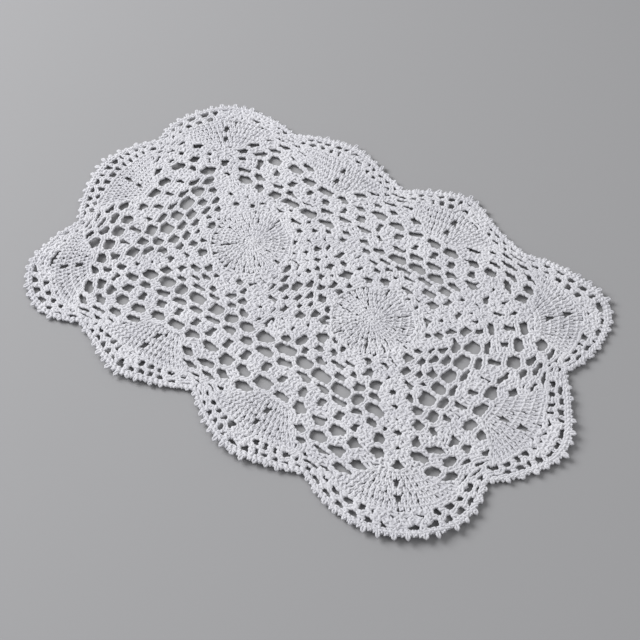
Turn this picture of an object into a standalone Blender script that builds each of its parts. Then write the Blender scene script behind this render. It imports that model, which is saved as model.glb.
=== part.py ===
"""A crocheted cotton lace doily, lying flat.

It is crocheted in one piece: two round medallions with netting round them, four straight rounds,
ten fans, two mesh rounds and a picot edging. Here it is one flat sheet with the outline of the
worked piece, and the larger gaps between its stitches cut through it. X is the long way, Z is up,
and the origin is under the middle of its box.
"""

import math

import bmesh
import bpy
import numpy as np

MM = 0.001

# Driving sizes
THICKNESS = 2.0 * MM
CORD = 1.15 * MM  # from the middle of a row of stitches or chains to the gap beside it
SMALLEST_GAP = 1.4 * MM  # a narrower gap is closed by the cotton's own fuzz
PICOT_HEIGHT = 1.6 * MM
PICOTS = {"side": 14, "corner": 16}  # along one scallop

# The ten scallops, clockwise seen from above, with every place in mm.
# cell: the window of the last straight round that the fan stands on, counted from the first fan.
# root and foot: the outer side of that round, under the fan and half way to the next one.
# inner and inner_foot: the inner side of the first straight round, at the same two cells.
# before, tip, after, notch: the outline, half way up, at the fan, half way down and at its end.
COLUMNS = (
    ("name", "corner", "cell"),
    ("root", "foot", "inner", "inner_foot"),
    ("before", "tip", "after", "notch"),
)
SCALLOPS = (
    (
        ("back left", False, 0),
        ((-37.2, 60), (-4.6, 64), (-39.5, 34.7), (-5, 37.8)),
        ((-62.5, 89.3), (-44, 94.3), (-25.5, 89.8), (-5, 82.9)),
    ),
    (
        ("back right", False, 6),
        ((30.5, 66.2), (68, 65.8), (27, 38.6), (60.5, 41.3)),
        ((11.2, 94.8), (28.5, 101.3), (49.5, 92.3), (71, 85.2)),
    ),
    (
        ("right back corner", True, 12.5),
        ((98.5, 51.5), (107.6, 22.5), (73, 36.5), (77, 21.5)),
        ((97.5, 89.5), (122.5, 83.8), (131.3, 60), (126.3, 34.2)),
    ),
    (
        ("right end", False, 17.8),
        ((110.7, -7.6), (109, -34.3), (79.7, -5.5), (79.8, -28)),
        ((140, 16.8), (150, -2.5), (144.7, -21.5), (129.8, -40)),
    ),
    (
        ("right front corner", True, 23),
        ((95.6, -60.5), (61.7, -64.6), (76, -35), (63.5, -36.8)),
        ((133.6, -64.5), (116.6, -86.2), (91, -94), (64.1, -86.9)),
    ),
    (
        ("front right", False, 29),
        ((29.5, -65.2), (-4.8, -66.5), (30.5, -35.3), (-5, -36.8)),
        ((47.5, -95.2), (29.5, -100.2), (11.5, -95), (-5.6, -84.8)),
    ),
    (
        ("front left", False, 35),
        ((-39.8, -66.1), (-73, -71.7), (-35, -38.4), (-68.5, -42.2)),
        ((-25, -95.8), (-43, -101.4), (-60.5, -96.3), (-77.7, -90.2)),
    ),
    (
        ("left front corner", True, 41.5),
        ((-99.6, -60.3), (-109, -33.5), (-77, -42), (-79.2, -29)),
        ((-100.5, -98), (-122.3, -85), (-127.5, -64.5), (-125.6, -44.8)),
    ),
    (
        ("left end", False, 47),
        ((-114, -3.8), (-116, 24), (-85.5, -2.7), (-88.8, 21)),
        ((-140.2, -27), (-149.4, -5), (-146.8, 12), (-136.6, 28.2)),
    ),
    (
        ("left back corner", True, 52),
        ((-104, 47.6), (-75, 61.6), (-84.5, 29.5), (-72.5, 31.9)),
        ((-139.3, 50), (-126, 76), (-103.5, 82.3), (-79.9, 80.1)),
    ),
)
CELLS = 58  # windows in the last straight round

# The straight rounds, from the inside out: the share of their band at which each one ends.
BAND = {"loop_joints": 0.07, "loops": 0.275, "bars": 0.505, "blocks": 0.76, "outer": 1.0}
SOLID_CELLS = (-1.6, 1.2)  # from here to there past a corner, the loops and bars are worked solid
CLOSED_CELLS = 1.0  # this far each way of a corner, no gap is left between the blocks
TIGHT_CELLS = 1.5  # this far each way of a corner, the innermost round is drawn together
TIGHT_SHARE = 0.22  # and takes this share of the way to the foot
BLOCK_GAP = 2.6 * MM  # width of the gap between two blocks

# The fan and mesh rounds: the share of their band at which each one ends, at a tip and at a notch.
FAN_ROUNDS = (
    ("windows", 0.0, 0.0),
    ("fan_1", 0.235, 0.30),
    ("fan_2", 0.445, 0.48),
    ("fan_3", 0.60, 0.66),
    ("mesh_1", 0.75, 0.80),
    ("mesh_2", 0.885, 0.90),
    ("edging", 1.0, 1.0),
)
# Loops of chain fill in between two fans, one fewer on each round, while the fans grow wider.
LOOP_ROUNDS = ("fan_1", "fan_2", "fan_3", "mesh_1")
FIRST_FAN_SHARE = 0.39  # the share of a half scallop that the fan takes on its first round
LOOP_CORD = 1.5 * MM  # from the middle of a chain loop's double strand to the gap beside it

# The two medallions. The netting hangs from the loops of the first straight round at these
# cells, a row for each side, and then from the middle line between these two cells.
MEDALLION_RADIUS = 24.5 * MM
MEDALLIONS = {
    "left": {
        "centre": (-45.5 * MM, 3.5 * MM),
        "first_angle": -50,
        "front": (33.5, 34.5, 35.5, 36.5, 37.5),
        "end": (43.5, 44.5, 45.5, 46.5, 47.5, 48.5, 49.5),
        "back": (54.5, 55.5, 56.5, 57.5, 58.5, 59.5, 60.5),
        "middle": (61, 32),
    },
    "right": {
        "centre": (35 * MM, 1.5 * MM),
        "first_angle": 130,
        "back": (4.5, 5.5, 6.5, 7.5, 8.5),
        "end": (14.5, 15.5, 16.5, 17.5, 18.5, 19.5, 20.5),
        "front": (25.5, 26.5, 27.5, 28.5, 29.5, 30.5, 31.5),
        "middle": (32, 61),
    },
}
SIDE_TURN, CORNER_TURN = 15, 6  # degrees round a medallion from one loop to the next
MIDDLE_LOOPS = 6  # they share what is left of the turn, and hang from the middle line
NET_LEVELS = (0.0, 0.39, 0.65, 0.89)  # where the netting's rounds are joined, from the medallion
LONGEST_RAY = 22 * MM  # a longer way out, at a corner or the waist, is filled with long stitches

# How many gaps of each kind are cut, the largest first.
MOST_GAPS = {"windows": 58, "bars": 46, "loops": 42, "block_gaps": 44, "fan_loops": 48, "netting": 60}

STEPS = 24  # points worked out along each stretch of a curve
HANDLE = 1 / 3  # length of a curve's handles, as a share of the stretch
ALMOST_PARALLEL = 0.05  # sine of the angle under which two sides of a gap count as parallel
NEARBY = 0.01  # a step along the outline that is short enough to tell its direction
COTTON = (0.86, 0.87, 0.88, 1.0)


def column(name):
    """One column of the scallops' table, in metres where it holds places."""
    part = next(i for i, names in enumerate(COLUMNS) if name in names)
    values = [row[part][COLUMNS[part].index(name)] for row in SCALLOPS]
    return values if part == 0 else np.array(values, float) * MM


CORNER, CELL, NOTCH = column("corner"), column("cell"), column("notch")
COUNT = len(SCALLOPS)


def unit(vector):
    return vector / np.linalg.norm(vector)


def bezier(start, leave, arrive, end):
    """Points along a cubic curve with these two handles."""
    t = np.linspace(0, 1, STEPS + 1)[:, None]
    left = (1 - t) ** 3 * start + 3 * t * (1 - t) ** 2 * leave
    return left + 3 * t**2 * (1 - t) * arrive + t**3 * end


def along(run, share):
    """The point this share of the way along a run of points."""
    walked = np.append(0, np.cumsum(np.linalg.norm(np.diff(run, axis=0), axis=1)))
    return np.array([np.interp(share * walked[-1], walked, run[:, i]) for i in (0, 1)])


def closed_runs(points):
    """A smooth closed curve through these points, as a run from each one to the next."""
    runs = []
    for i, start in enumerate(points):
        end = points[(i + 1) % len(points)]
        reach = np.linalg.norm(end - start) * HANDLE
        leave = unit(end - points[i - 1]) * reach
        arrive = unit(points[(i + 2) % len(points)] - start) * reach
        runs.append(bezier(start, start + leave, end - arrive, end))
    return runs


def open_runs(points):
    """A smooth arch through these points, whose ends curve as much as the stretch beside them."""
    last = len(points) - 2
    ways = [None] + [unit(points[i + 1] - points[i - 1]) for i in range(1, last + 1)] + [None]
    first_chord, last_chord = unit(points[1] - points[0]), unit(points[-1] - points[-2])
    ways[0] = 2 * (first_chord @ ways[1]) * first_chord - ways[1]
    ways[-1] = 2 * (last_chord @ ways[-2]) * last_chord - ways[-2]
    runs = []
    for i in range(last + 1):
        reach = np.linalg.norm(points[i + 1] - points[i]) * HANDLE
        handles = points[i] + ways[i] * reach, points[i + 1] - ways[i + 1] * reach
        runs.append(bezier(points[i], *handles, points[i + 1]))
    return runs


FOOT_CELL = [(CELL[i] + (CELL[i + 1] if i + 1 < COUNT else CELLS)) / 2 for i in range(COUNT)]
KNOTS = [cell for pair in zip(CELL, FOOT_CELL) for cell in pair] + [CELLS]
OUTER_RUNS = closed_runs([p for pair in zip(column("root"), column("foot")) for p in pair])
INNER_RUNS = closed_runs([p for pair in zip(column("inner"), column("inner_foot")) for p in pair])


def inner_share(run, cells, total):
    """How far along a stretch of the innermost round a cell lies, drawn together at a corner."""
    if run % 2 == 0 and CORNER[run // 2]:
        return np.interp(cells, [0, TIGHT_CELLS, total], [0, TIGHT_SHARE, 1])
    if run % 2 == 1 and CORNER[(run // 2 + 1) % COUNT]:
        return np.interp(cells, [0, total - TIGHT_CELLS, total], [0, 1 - TIGHT_SHARE, 1])
    return cells / total


def band_point(t, share):
    """The point t cells along the straight rounds, this share of the way out across them."""
    t = t % CELLS
    run = max(i for i in range(2 * COUNT) if KNOTS[i] <= t)
    total = KNOTS[run + 1] - KNOTS[run]
    outer = along(OUTER_RUNS[run], (t - KNOTS[run]) / total)
    inner = along(INNER_RUNS[run], inner_share(run, t - KNOTS[run], total))
    return inner + (outer - inner) * share


EDGE_RUNS = [
    open_runs([NOTCH[i - 1], column("before")[i], column("tip")[i], column("after")[i], NOTCH[i]])
    for i in range(COUNT)
]


def edge_point(scallop, v):
    """The point on the outline at v, from -1 at one notch through 0 at the tip to 1 at the next."""
    quarter = min(int((v + 1) * 2), 3)
    return along(EDGE_RUNS[scallop][quarter], (v + 1) * 2 - quarter)


def fan_point(scallop, v, name):
    """The point at v where a fan or mesh round ends; past 1 it lies on the next scallop."""
    if v > 1:
        return fan_point((scallop + 1) % COUNT, v - 2, name)
    before = FOOT_CELL[scallop - 1] - (CELLS if scallop == 0 else 0)
    start = band_point(np.interp(v, [-1, 0, 1], [before, CELL[scallop], FOOT_CELL[scallop]]), 1)
    _, at_tip, at_notch = next(row for row in FAN_ROUNDS if row[0] == name)
    return start + (edge_point(scallop, v) - start) * (at_tip + (at_notch - at_tip) * abs(v))


def net_rays(layout):
    """The two ends of each line of netting, clockwise round a medallion."""
    sides = [layout[name] for name in layout if name in ("front", "end", "back")]
    turns = [[SIDE_TURN] * (len(side) - 1) + [CORNER_TURN] for side in sides]
    turns = sum(turns, [])[:-1]
    turns += [(360 - sum(turns)) / MIDDLE_LOOPS] * (MIDDLE_LOOPS - 1)
    angles = np.radians(layout["first_angle"] - np.append(0, np.cumsum(turns)))
    starts = np.array(layout["centre"]) + MEDALLION_RADIUS * np.stack([np.cos(angles), np.sin(angles)], 1)
    ends = [band_point(cell, 0) for side in sides for cell in side]
    first, last = (band_point(cell, 0) for cell in layout["middle"])
    ends += [first + (last - first) * i / MIDDLE_LOOPS for i in range(1, MIDDLE_LOOPS)]
    return starts, np.array(ends)


NET_RAYS = {name: net_rays(layout) for name, layout in MEDALLIONS.items()}
NET_LOOPS = {name: len(starts) for name, (starts, ends) in NET_RAYS.items()}


def net_point(motif, n, level):
    """The point n loops round a medallion, this share of the way out through its netting."""
    total = NET_LOOPS[motif]
    places = [np.append(side, side[:1], axis=0) for side in NET_RAYS[motif]]
    start, end = ([np.interp(n % total, range(total + 1), side[:, i]) for i in (0, 1)] for side in places)
    return np.array(start) + (np.array(end) - start) * level


def area(corners):
    x, y = np.array(corners).T
    return (x * np.roll(y, -1) - y * np.roll(x, -1)).sum() / 2


def gap_inside(corners, margin=CORD):
    """The gap left in a cell by the cords along its sides, or nothing where they meet."""
    corners = np.array(corners)
    if area(corners) < 0:
        corners = corners[::-1]
    sides = np.array([unit(side) for side in np.roll(corners, -1, axis=0) - corners])
    moved = corners + np.stack([-sides[:, 1], sides[:, 0]], axis=1) * margin
    gap = []
    for i in range(len(corners)):
        matrix = np.array([sides[i - 1], -sides[i]]).T
        if abs(np.linalg.det(matrix)) < ALMOST_PARALLEL:
            return None
        gap.append(moved[i - 1] + sides[i - 1] * np.linalg.solve(matrix, moved[i] - moved[i - 1])[0])
    gap = np.array(gap)
    lengths = ((np.roll(gap, -1, axis=0) - gap) * sides).sum(axis=1)
    if lengths.min() <= 0 or 2 * area(gap) / lengths.sum() < SMALLEST_GAP / 2:
        return None
    return gap


def is_solid(t):
    """Whether a cell is so near a corner that its loops and bars are worked solid."""
    first, last = SOLID_CELLS
    return any(CORNER[i] and first < t - CELL[i] < last for i in range(COUNT))


def box_gap(start, end, low, high):
    """The gap in a cell of a straight round."""
    ends = ((start, low), (end, low), (end, high), (start, high))
    return gap_inside([band_point(t, BAND[name]) for t, name in ends])


def window_gaps():
    """Open oblongs between the posts of the last straight round."""
    return [box_gap(t - 0.5, t + 0.5, "blocks", "outer") for t in range(CELLS)]


def bar_gaps():
    """Flat oblongs under the blocks."""
    return [box_gap(t - 0.5, t + 0.5, "loops", "bars") for t in range(CELLS) if not is_solid(t)]


def loop_gaps():
    """Six-sided loops of the first straight round, half a cell on from the others."""
    gaps = []
    for t in range(CELLS):
        if is_solid(t) or is_solid(t + 1):
            continue
        joint, top = BAND["loop_joints"], BAND["loops"]
        ends = ((t + 0.5, -joint), (t + 1, joint), (t + 1, top), (t, top), (t, joint))
        gaps.append(gap_inside([band_point(*end) for end in ends]))
    return gaps


def block_gaps():
    """Upright slots between the blocks, but for those that a corner closes."""
    gaps = []
    for t in np.arange(0.5, CELLS):
        ends = [band_point(t + way, BAND["bars"]) for way in (-0.5, 0.5)]
        half = (BLOCK_GAP / 2 + CORD) / np.linalg.norm(ends[1] - ends[0])
        if not any(CORNER[i] and abs(t - CELL[i]) < CLOSED_CELLS for i in range(COUNT)):
            gaps.append(box_gap(t - half, t + half, "bars", "blocks"))
    return gaps


def fan_loop_gaps():
    """Diamonds and triangles of the chain loops that fill in between two fans."""
    names = [row[0] for row in FAN_ROUNDS]
    gaps = []
    for scallop in range(COUNT):
        half = (1 - FIRST_FAN_SHARE) / len(LOOP_ROUNDS)
        for row, name in enumerate(LOOP_ROUNDS):
            below = names[names.index(name) - 1]
            for loop in range(len(LOOP_ROUNDS) - row):
                left = FIRST_FAN_SHARE + half * (row + 2 * loop)
                cell = [(left, below), (left + 2 * half, below), (left + half, name)]
                if row:
                    cell.insert(1, (left + half, names[names.index(below) - 1]))
                gaps.append(gap_inside([fan_point(scallop, *end) for end in cell], LOOP_CORD))
    return gaps


def net_gaps():
    """Diamonds of the netting, each joined half a loop on from the round before."""
    levels = (*NET_LEVELS, 1 + BAND["loop_joints"])
    gaps = []
    for motif in MEDALLIONS:
        for level in range(1, len(NET_LEVELS)):
            low, middle, high = levels[level - 1 : level + 2]
            for n in np.arange(NET_LOOPS[motif]) + level % 2 / 2:
                if np.linalg.norm(net_point(motif, n, 1) - net_point(motif, n, 0)) < LONGEST_RAY:
                    cell = ((n, low), (n + 0.5, middle), (n, high), (n - 0.5, middle))
                    gaps.append(gap_inside([net_point(motif, *corner) for corner in cell]))
    return gaps


def largest(kind, gaps):
    """The gaps of one kind that are cut, which are its largest."""
    gaps = [gap for gap in gaps if gap is not None]
    return sorted(gaps, key=area, reverse=True)[: MOST_GAPS[kind]]


def edge_outline():
    """The outer edge, with a tooth for each picot."""
    points = []
    for scallop in range(COUNT):
        teeth = PICOTS["corner" if CORNER[scallop] else "side"]
        for n in range(2 * teeth):
            v = n / teeth - 1
            way = unit(edge_point(scallop, v + NEARBY) - edge_point(scallop, max(v - NEARBY, -1)))
            outwards = np.array([-way[1], way[0]]) * PICOT_HEIGHT / 2
            points.append(edge_point(scallop, v) + (outwards if n % 2 else -outwards))
    return np.array(points)


def add_ring(bm, points):
    """A closed ring of edges."""
    verts = [bm.verts.new((*point, 0)) for point in points]
    return [bm.edges.new((verts[i - 1], vert)) for i, vert in enumerate(verts)]


def flat_sheet(name, rings, thickness, material):
    """One flat sheet: the first ring is its outline and the others are cut through it."""
    bm = bmesh.new()
    edges = [edge for ring in rings for edge in add_ring(bm, ring)]
    bmesh.ops.triangle_fill(bm, edges=edges, use_beauty=True, normal=(0, 0, 1))
    raised = bmesh.ops.extrude_face_region(bm, geom=bm.faces[:])
    lifted = [item for item in raised["geom"] if isinstance(item, bmesh.types.BMVert)]
    bmesh.ops.translate(bm, verts=lifted, vec=(0, 0, thickness))
    bmesh.ops.recalc_face_normals(bm, faces=bm.faces[:])
    mesh = bpy.data.meshes.new(name)
    bm.to_mesh(mesh)
    bm.free()
    mesh.materials.append(material)
    sheet = bpy.data.objects.new(name, mesh)
    bpy.context.scene.collection.objects.link(sheet)
    return sheet


def cotton_material():
    """Bleached cotton thread."""
    material = bpy.data.materials.new("cotton")
    material.use_nodes = True
    shader = material.node_tree.nodes["Principled BSDF"]
    shader.inputs["Base Color"].default_value = COTTON
    shader.inputs["Roughness"].default_value = 0.95
    shader.inputs["Metallic"].default_value = 0.0
    return material


def build():
    outline = edge_outline()
    middle = (outline.max(axis=0) + outline.min(axis=0)) / 2
    makers = {
        "windows": window_gaps,
        "bars": bar_gaps,
        "loops": loop_gaps,
        "block_gaps": block_gaps,
        "fan_loops": fan_loop_gaps,
        "netting": net_gaps,
    }
    rings = [outline]
    for kind, maker in makers.items():
        found = largest(kind, maker())
        print(f"{kind}: {len(found)} gaps, the smallest {area(found[-1]) / MM**2:.1f} mm2")
        rings += found
    print(f"{len(rings) - 1} gaps in all, and all moved by {-middle / MM} mm to centre the box")
    flat_sheet("doily", [ring - middle for ring in rings], THICKNESS, cotton_material())


for old in list(bpy.data.objects):
    bpy.data.objects.remove(old, do_unlink=True)
build()
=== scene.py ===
# %% [markdown]
# A crocheted cotton lace doily, spread flat. The real one is made of one long thread: a hook pulls
# each loop through the last, and every stitch is a few strands lying over and under one another.
# So the doily is made here the way a crocheter reads a chart. First come the places of the rounds,
# then one small shape for each stitch, and then the stitches are laid in their places. Sizes are in
# millimetres, unless a comment says otherwise.

# %% Load the frame
import math

import bmesh
import bpy
import numpy as np
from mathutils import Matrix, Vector
from mathutils.geometry import delaunay_2d_cdt


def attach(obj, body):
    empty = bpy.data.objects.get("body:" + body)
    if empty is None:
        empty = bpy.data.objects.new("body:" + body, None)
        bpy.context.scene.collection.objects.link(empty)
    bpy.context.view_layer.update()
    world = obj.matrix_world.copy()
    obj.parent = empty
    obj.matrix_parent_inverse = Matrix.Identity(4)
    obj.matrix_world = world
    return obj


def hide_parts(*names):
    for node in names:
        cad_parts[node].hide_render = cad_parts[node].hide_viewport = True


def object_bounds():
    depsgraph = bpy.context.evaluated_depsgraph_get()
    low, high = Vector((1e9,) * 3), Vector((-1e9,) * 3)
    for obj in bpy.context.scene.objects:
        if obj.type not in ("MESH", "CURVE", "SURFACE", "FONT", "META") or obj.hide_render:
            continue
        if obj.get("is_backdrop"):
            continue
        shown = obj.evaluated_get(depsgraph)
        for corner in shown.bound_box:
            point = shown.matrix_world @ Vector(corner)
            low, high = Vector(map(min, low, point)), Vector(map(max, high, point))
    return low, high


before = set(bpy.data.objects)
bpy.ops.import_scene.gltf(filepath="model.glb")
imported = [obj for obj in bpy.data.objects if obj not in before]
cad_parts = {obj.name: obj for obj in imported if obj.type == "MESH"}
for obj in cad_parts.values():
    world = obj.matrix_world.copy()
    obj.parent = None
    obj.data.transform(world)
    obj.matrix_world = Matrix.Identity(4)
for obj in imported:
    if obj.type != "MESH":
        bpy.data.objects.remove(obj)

CAD_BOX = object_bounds()
MM = 0.001
chance = np.random.default_rng(11)
print("the doily's box is", [round(size / MM, 1) for size in CAD_BOX[1] - CAD_BOX[0]], "mm")

# %% [markdown]
# The camera looks down from the front right. Its height, turn and lens come from the photo.
# The floor is plain and pale but a little darker than the cotton, so that the gaps show.

# %% Camera, floor and light
TARGET = Vector((0.01385, -0.01359, 0.0))
DISTANCE, ELEVATION, AZIMUTH, LENS = 0.547, 52, 38.9, 61.9


def from_target(distance, elevation, azimuth):
    """A place this far from the doily, at this height and turn in degrees."""
    up, round_ = math.radians(elevation), math.radians(azimuth)
    way = Vector((math.sin(round_) * math.cos(up), -math.cos(round_) * math.cos(up), math.sin(up)))
    return TARGET + way * distance


def aim(name, data, place):
    """A camera or light at a place, aimed at the doily."""
    thing = bpy.data.objects.new(name, data)
    bpy.context.scene.collection.objects.link(thing)
    thing.location = place
    thing.rotation_euler = (TARGET - place).to_track_quat("-Z", "Y").to_euler()
    return thing


camera = aim("camera", bpy.data.cameras.new("camera"), from_target(DISTANCE, ELEVATION, AZIMUTH))
camera.data.lens = LENS
camera.data.clip_start = 0.01
bpy.context.scene.camera = camera

LIGHTS = (
    # name, power in watts, side in metres, distance, elevation, azimuth
    ("window", 25.0, 0.9, 1.5, 42, -75),
    ("fill", 5.0, 1.6, 1.8, 60, 100),
)
for name, power, side, distance, elevation, azimuth in LIGHTS:
    area = bpy.data.lights.new(name, "AREA")
    area.energy, area.size = power, side
    aim(name, area, from_target(distance, elevation, azimuth))

world = bpy.data.worlds.new("studio")
world.use_nodes = True
sky = world.node_tree.nodes["Background"].inputs
sky["Color"].default_value, sky["Strength"].default_value = (1.0, 1.0, 1.0, 1.0), 0.36
bpy.context.scene.world = world
bpy.context.scene.view_settings.view_transform = "Standard"

bm = bmesh.new()
bmesh.ops.create_grid(bm, x_segments=1, y_segments=1, size=5.0)
floor_mesh = bpy.data.meshes.new("floor")
bm.to_mesh(floor_mesh)
bm.free()
floor = bpy.data.objects.new("floor", floor_mesh)
bpy.context.scene.collection.objects.link(floor)
floor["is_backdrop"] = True
paper = bpy.data.materials.new("grey_paper")
paper.use_nodes = True
look = paper.node_tree.nodes["Principled BSDF"].inputs
look["Base Color"].default_value, look["Roughness"].default_value = (0.32, 0.32, 0.33, 1.0), 0.9
floor_mesh.materials.append(paper)
print("camera at", [round(size, 3) for size in camera.location])

# %% [markdown]
# The doily is worked by hand, so its ten scallops differ. This table holds their measured places
# in mm, clockwise seen from above. "cell" counts the windows of the last straight round, "root" and
# "foot" are on that round's outer side, under a fan and half way to the next, and "inner" and
# "inner_foot" are on the first straight round. The last four places are on the outline.

# %% The ten scallops
COLUMNS = (
    ("corner", "cell"),
    ("root", "foot", "inner", "inner_foot"),
    ("before", "tip", "after", "notch"),
)
SCALLOPS = (
    ((False, 0), ((-37.2, 60), (-4.6, 64), (-39.5, 34.7), (-5, 37.8)),
     ((-62.5, 89.3), (-44, 94.3), (-25.5, 89.8), (-5, 82.9))),
    ((False, 6), ((30.5, 66.2), (68, 65.8), (27, 38.6), (60.5, 41.3)),
     ((11.2, 94.8), (28.5, 101.3), (49.5, 92.3), (71, 85.2))),
    ((True, 12.5), ((98.5, 51.5), (107.6, 22.5), (73, 36.5), (77, 21.5)),
     ((97.5, 89.5), (122.5, 83.8), (131.3, 60), (126.3, 34.2))),
    ((False, 17.8), ((110.7, -7.6), (109, -34.3), (79.7, -5.5), (79.8, -28)),
     ((140, 16.8), (150, -2.5), (144.7, -21.5), (129.8, -40))),
    ((True, 23), ((95.6, -60.5), (61.7, -64.6), (76, -35), (63.5, -36.8)),
     ((133.6, -64.5), (116.6, -86.2), (91, -94), (64.1, -86.9))),
    ((False, 29), ((29.5, -65.2), (-4.8, -66.5), (30.5, -35.3), (-5, -36.8)),
     ((47.5, -95.2), (29.5, -100.2), (11.5, -95), (-5.6, -84.8))),
    ((False, 35), ((-39.8, -66.1), (-73, -71.7), (-35, -38.4), (-68.5, -42.2)),
     ((-25, -95.8), (-43, -101.4), (-60.5, -96.3), (-77.7, -90.2))),
    ((True, 41.5), ((-99.6, -60.3), (-109, -33.5), (-77, -42), (-79.2, -29)),
     ((-100.5, -98), (-122.3, -85), (-127.5, -64.5), (-125.6, -44.8))),
    ((False, 47), ((-114, -3.8), (-116, 24), (-85.5, -2.7), (-88.8, 21)),
     ((-140.2, -27), (-149.4, -5), (-146.8, 12), (-136.6, 28.2))),
    ((True, 52), ((-104, 47.6), (-75, 61.6), (-84.5, 29.5), (-72.5, 31.9)),
     ((-139.3, 50), (-126, 76), (-103.5, 82.3), (-79.9, 80.1))),
)
CELLS = 58  # windows that the last straight round has by the rule
BOX_SHIFT = np.array((-0.226, 0.012))  # brings the middle of the doily's box to the origin


def column(name):
    """One column of the scallops' table, in mm."""
    part = next(i for i, names in enumerate(COLUMNS) if name in names)
    values = [row[part][COLUMNS[part].index(name)] for row in SCALLOPS]
    return values if part == 0 else np.array(values, float) + BOX_SHIFT


CORNER, CELL, NOTCH = column("corner"), column("cell"), column("notch")
COUNT = len(SCALLOPS)
print(COUNT, "scallops,", sum(CORNER), "of them at corners")

# %% [markdown]
# Smooth curves are drawn through those places: a closed one on each side of the straight rounds, and
# an arch for each scallop. They are cubic curves whose handles follow the places on both sides.

# %% Tools for curves
STEPS = 24  # points worked out along each stretch of a curve
HANDLE = 1 / 3  # length of a curve's handles, as a share of the stretch


def unit(vector):
    return vector / np.linalg.norm(vector)


def bezier(start, leave, arrive, end):
    """Points along a cubic curve with these two handles."""
    t = np.linspace(0, 1, STEPS + 1)[:, None]
    left = (1 - t) ** 3 * start + 3 * t * (1 - t) ** 2 * leave
    return left + 3 * t**2 * (1 - t) * arrive + t**3 * end


def walked(run):
    """The length of a run of points from its start to each of them."""
    return np.append(0, np.cumsum(np.linalg.norm(np.diff(run, axis=0), axis=1)))


def along(run, share):
    """The point this share of the way along a run of points."""
    so_far = walked(run)
    return np.array([np.interp(share * so_far[-1], so_far, run[:, i]) for i in (0, 1)])


def runs_through(points, ways):
    """A smooth curve through these points in these directions, as a run from each to the next."""
    runs = []
    for start, leave, end, arrive in zip(points[:-1], ways[:-1], points[1:], ways[1:]):
        reach = np.linalg.norm(end - start) * HANDLE
        runs.append(bezier(start, start + leave * reach, end - arrive * reach, end))
    return runs


def closed_runs(points):
    """A smooth closed curve through these points."""
    ways = [unit(points[(i + 1) % len(points)] - points[i - 1]) for i in range(len(points))]
    return runs_through(points + points[:1], ways + ways[:1])


def open_runs(points):
    """A smooth arch through these points, whose ends curve as much as the stretch beside them."""
    ways = [unit(after - before) for before, after in zip(points, points[2:])]
    first, last = unit(points[1] - points[0]), unit(points[-1] - points[-2])
    leave, arrive = 2 * (first @ ways[0]) * first - ways[0], 2 * (last @ ways[-1]) * last - ways[-1]
    return runs_through(points, [leave, *ways, arrive])


print("a stretch of a curve has", STEPS, "steps")

# %% [markdown]
# A point of the straight rounds is named by how many windows along and how far out it is, so that
# holes and stitches are placed by counting.

# %% A place in the straight rounds
FOOT_CELL = [(CELL[i] + (CELL[i + 1] if i + 1 < COUNT else CELLS)) / 2 for i in range(COUNT)]
KNOTS = [cell for pair in zip(CELL, FOOT_CELL) for cell in pair] + [CELLS]
OUTER_RUNS = closed_runs([p for pair in zip(column("root"), column("foot")) for p in pair])
INNER_RUNS = closed_runs([p for pair in zip(column("inner"), column("inner_foot")) for p in pair])
# At a corner the innermost round is drawn together: this many cells take this share of a stretch.
TIGHT_CELLS, TIGHT_SHARE = 1.5, 0.22


def inner_share(run, cells, total):
    """How far along a stretch of the innermost round a cell lies, drawn together at a corner."""
    if run % 2 == 0 and CORNER[run // 2]:
        return np.interp(cells, [0, TIGHT_CELLS, total], [0, TIGHT_SHARE, 1])
    if run % 2 == 1 and CORNER[(run // 2 + 1) % COUNT]:
        return np.interp(cells, [0, total - TIGHT_CELLS, total], [0, 1 - TIGHT_SHARE, 1])
    return cells / total


def band_point(t, share):
    """The point t cells along the straight rounds, this share of the way out across them."""
    t = t % CELLS
    run = max(i for i in range(2 * COUNT) if KNOTS[i] <= t)
    total = KNOTS[run + 1] - KNOTS[run]
    outer = along(OUTER_RUNS[run], (t - KNOTS[run]) / total)
    inner = along(INNER_RUNS[run], inner_share(run, t - KNOTS[run], total))
    return inner + (outer - inner) * share


print("the first window is at", band_point(0, 1).round(1), "mm")

# %% [markdown]
# A point of a scallop is named by v, which runs from one notch to the next, and by the round that
# ends there. It lies on the line that joins the straight rounds to the outline.

# %% A place in a scallop
EDGE_RUNS = [
    open_runs([NOTCH[i - 1], column("before")[i], column("tip")[i], column("after")[i], NOTCH[i]])
    for i in range(COUNT)
]


def edge_point(scallop, v):
    """The point on the outline at v, from -1 at one notch through 0 at the tip to 1 at the next."""
    quarter = min(int((v + 1) * 2), 3)
    return along(EDGE_RUNS[scallop][quarter], (v + 1) * 2 - quarter)


FAN_LEVELS = {  # the share of the way out at which each fan round ends, at a tip and at a notch
    "windows": (0.0, 0.0),
    "fan_1": (0.225, 0.29),
    "fan_2": (0.42, 0.47),
    "fan_3": (0.585, 0.64),
    "mesh_1": (0.75, 0.785),
    "mesh_2": (0.915, 0.915),
    "edging": (1.0, 1.0),
}


def fan_point(scallop, v, name, beyond=0.0):
    """The point at v where a round ends, or a share of the fan's height; past 1, on the next scallop."""
    if abs(v) > 1:
        way = 1 if v > 1 else -1
        return fan_point((scallop + way) % COUNT, v - 2 * way, name, beyond)
    before = FOOT_CELL[scallop - 1] - (CELLS if scallop == 0 else 0)
    start = band_point(np.interp(v, [-1, 0, 1], [before, CELL[scallop], FOOT_CELL[scallop]]), 1)
    at_tip, at_notch = FAN_LEVELS[name] if name in FAN_LEVELS else np.array(FAN_LEVELS["fan_3"]) * name
    share = at_tip + (at_notch - at_tip) * abs(v) + beyond
    return start + (edge_point(scallop, v) - start) * share


print("the first scallop's tip is at", edge_point(0, 0).round(1), "mm")

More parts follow.
